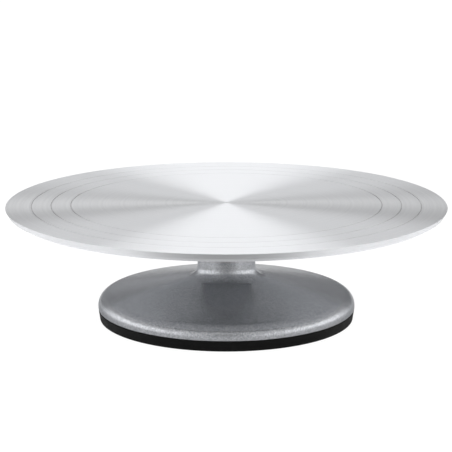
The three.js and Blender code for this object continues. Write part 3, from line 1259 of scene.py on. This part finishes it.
@dataclass
class PedestalCasting:
    """The painted casting: neck, flare, cone and shoulder, with ribs in its hollow underside."""

    finishes: Finishes
    room: Span = field(default_factory=lambda: Span.of("base_casting"))
    upper: Span = field(default_factory=lambda: Span.of("upper_bearing_outer_ring"))
    lower: Span = field(default_factory=lambda: Span.of("lower_bearing_outer_ring"))
    neck: float = 20.2
    fillet: float = 9.0
    cone_top: tuple[float, float] = (27.4, 28.7)
    slope: float = 11.3
    shoulder: float = 8.5
    wall: float = 3.6
    rim_inner: float = 78.8
    seat_gap: float = 0.15
    land: float = 13.6
    tube_foot: float = 8.0
    groove: tuple[float, float, float] = (80.8, 85.2, 3.8)
    ribs: int = 4
    rib_thickness: float = 4.0
    rib_foot: float = 9.5
    rib_height: float = 10.0
    rib_taper: float = 1.25
    foot_edge: float = 0.5
    root_round: float = 4.0
    root_step: float = 0.4
    rim_round: float = 2.0

    def cone_height(self, radius: float) -> float:
        """The height of the cone's outer face at a radius."""
        return self.cone_top[1] - math.tan(math.radians(self.slope)) * (radius - self.cone_top[0])

    def ceiling(self, radius: float) -> float:
        """The height of the shell's inner face at a radius."""
        return self.cone_height(radius) - self.wall / math.cos(math.radians(self.slope))

    def outside(self) -> Outline:
        """The outer face, from the rim's foot up to the neck's top."""
        foot, widest = self.room.low, self.room.radius
        shoulder_r = widest - self.shoulder
        end = 90 - self.slope
        end_r = shoulder_r + self.shoulder * math.cos(math.radians(end))
        shoulder_z = self.cone_height(end_r) - self.shoulder * math.sin(math.radians(end))
        fillet_z = self.cone_top[1] + self.fillet * math.cos(math.radians(self.slope))
        points = [(widest - self.foot_edge, foot), (widest, foot + self.foot_edge)]
        points += arc((shoulder_r, shoulder_z), self.shoulder, 0, end, 14)
        points += arc((self.neck + self.fillet, fillet_z), self.fillet, 270 - self.slope, 180, 18)
        points.append((self.neck, self.room.high))
        return points

    def bore(self) -> Outline:
        """The bore with its two bearing seats, from the neck's top down to the tube's foot."""
        seat = self.upper.radius + self.seat_gap
        return [
            (seat, self.room.high),
            (seat, self.upper.low),
            (self.land, self.upper.low),
            (self.land, self.lower.high),
            (seat, self.lower.high),
            (seat, self.tube_foot),
        ]

    def underside(self) -> Outline:
        """The hollow underside, from the tube's foot out to the foot ring's groove."""
        inner, outer, depth = self.groove
        foot = self.room.low
        points = [(self.neck, self.tube_foot)]
        root_r = self.neck + self.root_round + self.root_step
        points += arc((root_r, self.ceiling(root_r) - self.root_round), self.root_round, 180, 90, 8)
        rim_r = self.rim_inner - self.rim_round
        points += arc((rim_r, self.ceiling(rim_r) - self.rim_round), self.rim_round, 90, 0, 6)
        points += [(self.rim_inner, foot), (inner, foot), (inner, foot + depth), (outer, foot + depth)]
        points.append((outer, foot))
        return points

    def rib(self, angle: float) -> bpy.types.Object:
        """Makes a web from the tube to the rim, from a cube that is tapered and rounded.

        Args:
            angle: Where it stands, in radians.

        Returns:
            The web, buried in the shell at its top and both ends.
        """
        start, end = self.neck - 1.0, self.rim_inner + 1.0
        clear_selection()
        middle = (self.rib_foot + self.rib_height / 2) * MM
        size = ((end - start) * MM, self.rib_thickness * MM, self.rib_height * MM)
        centre = ((start + end) / 2 * MM, 0, middle)
        bpy.ops.mesh.primitive_cube_add(size=1, location=centre, scale=size)
        rib = bpy.context.object
        settle(rib)
        for point in rib.data.vertices:
            if point.co.z > middle:
                point.co.z = (self.ceiling(point.co.x / MM) + self.wall / 2) * MM
                point.co.y *= self.rib_taper
        soften(rib, 0.8, segments=3)
        rib.rotation_euler = (0, 0, angle)
        settle(rib)
        return rib

    def build(self) -> list[bpy.types.Object]:
        """Builds the casting.

        Returns:
            The one piece.
        """
        outline = [*self.outside(), *self.bore(), *self.underside()]
        casting = turn("pedestal", outline, Sides.CASTING)
        soften(casting, 0.4)
        for angle in spaced(self.ribs, math.pi / 4):
            combine(casting, self.rib(angle), Cut.JOINED)
        self.finishes.dress(casting, Slot.SILVER_PAINT)
        return [fit(casting, Body.BASE, "base_casting")]


@dataclass
class FootRing:
    """The rubber ring that the casting stands on."""

    finishes: Finishes
    room: Span = field(default_factory=lambda: Span.of("rubber_foot_ring"))
    casting: Span = field(default_factory=lambda: Span.of("base_casting"))
    inner: float = 79.4
    draft: float = 1.0
    tongue: tuple[float, float] = (81.0, 85.0)
    gap: float = 0.15
    tread_grooves: tuple[float, ...] = (81.8, 85.9)
    groove_width: float = 0.8
    groove_depth: float = 0.5

    def build(self) -> list[bpy.types.Object]:
        """Builds the ring.

        Returns:
            The one piece.
        """
        shelf = self.casting.low - self.gap
        bottom = self.room.radius - self.draft
        tongue_in, tongue_out = self.tongue
        outline = [(self.inner + 0.8, 0.0)]
        for groove in self.tread_grooves:
            outline.append((groove - self.groove_width / 2, 0.0))
            outline.append((groove, self.groove_depth))
            outline.append((groove + self.groove_width / 2, 0.0))
        outline += [
            (bottom, 0.0),
            (self.room.radius, shelf),
            (tongue_out, shelf),
            (tongue_out, self.room.high),
            (tongue_in, self.room.high),
            (tongue_in, shelf),
            (self.inner, shelf),
            (self.inner, 0.8),
        ]
        ring = turn("foot_tread", outline, Sides.CASTING)
        soften(ring, 0.3, segments=4)
        self.finishes.dress(ring, Slot.RUBBER)
        return [fit(ring, Body.BASE, "rubber_foot_ring")]


@dataclass
class DustCap:
    """The plastic cup that closes the tube under the nut."""

    finishes: Finishes
    room: Span = field(default_factory=lambda: Span.of("bottom_dust_cap"))
    wall: float = 1.3
    floor: float = 1.6
    panel_radius: float = 11.0
    panel_depth: float = 0.5
    gate_radius: float = 1.2

    def build(self) -> list[bpy.types.Object]:
        """Builds the cap, with a sunk panel and the mark of its moulding gate underneath.

        Returns:
            The one piece.
        """
        low, high, radius = self.room.low, self.room.high, self.room.radius
        panel = low + self.panel_depth
        outline = [
            (AXIS, panel - 0.25),
            (self.gate_radius * 0.8, panel - 0.25),
            (self.gate_radius, panel),
            (self.panel_radius, panel),
            (self.panel_radius + 0.5, low),
            (radius, low),
            (radius, high),
            (radius - self.wall, high),
            (radius - self.wall, low + self.floor),
            (AXIS, low + self.floor),
        ]
        cap = turn("cap", outline, Sides.INNER, Ends.CAPPED)
        soften(cap, 0.2, segments=3, angle=25.0)
        self.finishes.dress(cap, Slot.BLACK_PLASTIC)
        return [fit(cap, Body.BASE, "bottom_dust_cap")]


# ---- Studio ------------------------------------------------------------------------------------


@dataclass
class SoftLight:
    """A rectangular soft light that faces a point on the object."""

    name: str
    place: tuple[float, float, float]
    size: tuple[float, float]
    radiance: float
    aim: tuple[float, float, float] = (0.0, 0.0, 0.05)

    def build(self) -> bpy.types.Object:
        """Adds the light.

        Returns:
            The light's object.
        """
        clear_selection()
        bpy.ops.object.light_add(type="AREA", location=self.place)
        lamp = bpy.context.object
        lamp.name = self.name
        lamp.data.shape = "RECTANGLE"
        lamp.data.size, lamp.data.size_y = self.size
        lamp.data.energy = self.radiance * math.pi * self.size[0] * self.size[1]
        facing = Vector(self.aim) - Vector(self.place)
        lamp.rotation_euler = facing.to_track_quat("-Z", "Y").to_euler()
        lamp.visible_camera = False
        return lamp


@dataclass
class Studio:
    """The camera, the pale floor, the table top that light bounces off, and the lights."""

    distance: float = 1.232
    elevation: float = 11.928
    tilt: float = 0.758
    lens: float = 141.45
    sideways: float = -0.0003
    table_front: float = -0.17
    table_size: float = 3.0
    table_glow: float = 0.35
    table_albedo: float = 0.6
    table_drop: float = 0.0005
    floor_size: float = 24.0
    floor_glow: float = 0.96
    floor_albedo: float = 0.12

    def camera(self) -> None:
        """Adds the camera, which looks down at the plate's top from in front."""
        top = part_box("turntable_plate")[1][2]
        angle = math.radians(self.elevation)
        place = (self.sideways, -self.distance * math.cos(angle), top + self.distance * math.sin(angle))
        clear_selection()
        pitch = math.radians(90 - self.elevation - self.tilt)
        bpy.ops.object.camera_add(location=place, rotation=(pitch, 0, 0))
        camera = bpy.context.object
        camera.data.sensor_width = 36.0
        camera.data.lens = self.lens
        camera.data.clip_end = 50.0
        bpy.context.scene.camera = camera

    def glow(self, name: str, strength: float, albedo: float) -> bpy.types.Material:
        """Makes a matt white material with a light of its own.

        Args:
            name: The material's name.
            strength: How much light it gives.
            albedo: How much light it returns.

        Returns:
            The material.
        """
        board = Board(name)
        return board.set(
            Base_Color=(albedo, albedo, albedo),
            Roughness=1.0,
            Specular_IOR_Level=0.0,
            Emission_Color=(1.0, 1.0, 1.0),
            Emission_Strength=strength,
        )

    def floor(self) -> None:
        """Adds the floor that the camera sees: plain, pale and seen from above only."""
        clear_selection()
        bpy.ops.mesh.primitive_plane_add(size=self.floor_size, location=(0, 0, 0))
        floor = bpy.context.object
        floor.name = "floor"
        material = self.glow("pale_floor", self.floor_glow, self.floor_albedo)
        floor.data.materials.append(material)
        self.hide_from_below(material)
        floor.visible_diffuse = False
        floor.visible_glossy = False
        floor.visible_transmission = False
        floor.visible_shadow = False

    def hide_from_below(self, material: bpy.types.Material) -> None:
        """Lets the underside of the object be seen through the floor.

        Args:
            material: The floor's material.
        """
        tree = material.node_tree
        mix = tree.nodes.new("ShaderNodeMixShader")
        clear = tree.nodes.new("ShaderNodeBsdfTransparent")
        side = tree.nodes.new("ShaderNodeNewGeometry")
        end = tree.nodes["Material Output"]
        tree.links.new(side.outputs["Backfacing"], mix.inputs[0])
        tree.links.new(tree.nodes["Principled BSDF"].outputs[0], mix.inputs[1])
        tree.links.new(clear.outputs[0], mix.inputs[2])
        tree.links.new(mix.outputs[0], end.inputs["Surface"])

    def table(self) -> None:
        """Adds the table top that the object's faces reflect. The camera sees the floor instead."""
        clear_selection()
        centre = (0, self.table_front + self.table_size / 2, -self.table_drop)
        bpy.ops.mesh.primitive_plane_add(size=self.table_size, location=centre)
        table = bpy.context.object
        table.name = "bounce_table"
        material = self.glow("white_table", self.table_glow, self.table_albedo)
        table.data.materials.append(material)
        table.visible_camera = False

    def build(self) -> None:
        """Sets up the whole studio."""
        self.camera()
        self.floor()
        self.table()
        Surroundings().build()
        SoftLight("left_back_light", (-0.7, 2.3, 0.4), (0.9, 0.3), 0.35).build()
        bpy.context.scene.view_settings.view_transform = "Standard"


@dataclass(frozen=True)
class LightBand:
    """A band of soft light all round the object, between two heights.

    The levels are (bearing, radiance), with bearings in degrees away from the camera's side.
    """

    low: float
    high: float
    levels: tuple[tuple[float, float], ...]


class Surroundings(Board):
    """The soft boxes that stand round the object: dim in front, bright at the sides."""

    full: float = 3.0
    softness: float = 3.0
    bands: tuple[LightBand, ...] = (
        LightBand(-100, -8, ((0, 0.37), (35, 0.45), (60, 1.4), (180, 1.4))),
        LightBand(
            -8,
            7,
            ((0, 0.55), (25, 1.2), (50, 1.8), (75, 2.2), (105, 2.4), (130, 1.9), (150, 0.6), (180, 0.4)),
        ),
        LightBand(
            7,
            20,
            (
                *((0, 0.35), (25, 1.1), (50, 1.7), (75, 2.3), (105, 2.4)),
                *((130, 1.4), (150, 0.5), (165, 0.45), (173, 0.9), (180, 1.9)),
            ),
        ),
        LightBand(20, 36, ((0, 0.8), (50, 1.0), (95, 0.95), (140, 0.8), (180, 0.3))),
        LightBand(36, 56, ((0, 0.3), (50, 0.2), (95, 0.65), (140, 0.9), (180, 0.05))),
        LightBand(56, 76, ((0, 2.6), (50, 2.3), (90, 1.8), (130, 2.2), (180, 2.6))),
        LightBand(76, 100, ((0, 1.6), (180, 1.6))),
    )

    def __init__(self) -> None:
        """Starts an empty world."""
        world = bpy.data.worlds.new("studio")
        bpy.context.scene.world = world
        world.use_nodes = True
        self.tree = world.node_tree
        self.tree.nodes.clear()
        self.point = self.place("ShaderNodeTexCoord").outputs["Generated"]

    def above(self, height: object, edge: float) -> bpy.types.NodeSocket:
        """Fades in the light above a height.

        Args:
            height: The direction's height above the horizon, in degrees.
            edge: Where the light is half in, in degrees.

        Returns:
            From 0 below the edge to the fullest radiance above it.
        """
        return self.spread(height, edge - self.softness, edge + self.softness, 0.0, self.full)

    def around(self, bearing: object, band: LightBand) -> bpy.types.NodeSocket:
        """A band's light by bearing.

        Args:
            bearing: The bearing from the camera's side, as a share of half a turn.
            band: The band.

        Returns:
            Its radiance, as a share of the fullest.
        """
        node = self.place("ShaderNodeFloatCurve", in1=bearing)
        curve = node.mapping.curves[0]
        first, *between, last = [(turn_ / 180, level / self.full) for turn_, level in band.levels]
        curve.points[0].location = first
        curve.points[-1].location = last
        for point in between:
            curve.points.new(*point)
        node.mapping.update()
        return node.outputs[0]

    def build(self) -> None:
        """Joins the bands into one background. The camera sees plain white instead."""
        parts = self.place("ShaderNodeSeparateXYZ", Vector=self.point)
        ahead = self.sum("MULTIPLY", parts.outputs["Y"], -1.0)
        bearing = self.sum("ABSOLUTE", self.sum("ARCTAN2", parts.outputs["X"], ahead))
        bearing = self.sum("DIVIDE", bearing, math.pi)
        height = self.sum("DEGREES", self.sum("ARCSINE", parts.outputs["Z"]))
        light = 0.0
        for band in self.bands:
            within = self.sum("SUBTRACT", self.above(height, band.low), self.above(height, band.high))
            light = self.sum("ADD", light, self.sum("MULTIPLY", self.around(bearing, band), within))
        seen = self.place("ShaderNodeLightPath").outputs["Is Camera Ray"]
        strength = self.sum("ADD", self.sum("MULTIPLY", light, self.sum("SUBTRACT", 1.0, seen)), seen)
        sky = self.place("ShaderNodeBackground", Strength=strength)
        end = self.place("ShaderNodeOutputWorld")
        self.tree.links.new(sky.outputs[0], end.inputs["Surface"])


# ---- Assembly ----------------------------------------------------------------------------------


def main() -> None:
    """Builds the turntable, then the studio, and reports each piece."""
    finishes = Finishes()
    assemblies = (
        TurntablePlate(finishes),
        Hub(finishes),
        SpindleStack(finishes),
        BallBearing(finishes, "upper", Body.UPPER_BALLS, 0.0),
        BallBearing(finishes, "lower", Body.LOWER_BALLS, math.pi / 2),
        PedestalCasting(finishes),
        FootRing(finishes),
        DustCap(finishes),
    )
    for assembly in assemblies:
        for piece in assembly.build():
            faces = len(piece.data.polygons)
            LOG.info("%s: %s has %d faces", type(assembly).__name__, piece.name, faces)
    Studio().build()


if __name__ == "__main__":
    logging.basicConfig(level=logging.INFO, format="%(name)s: %(message)s")
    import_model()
    main()
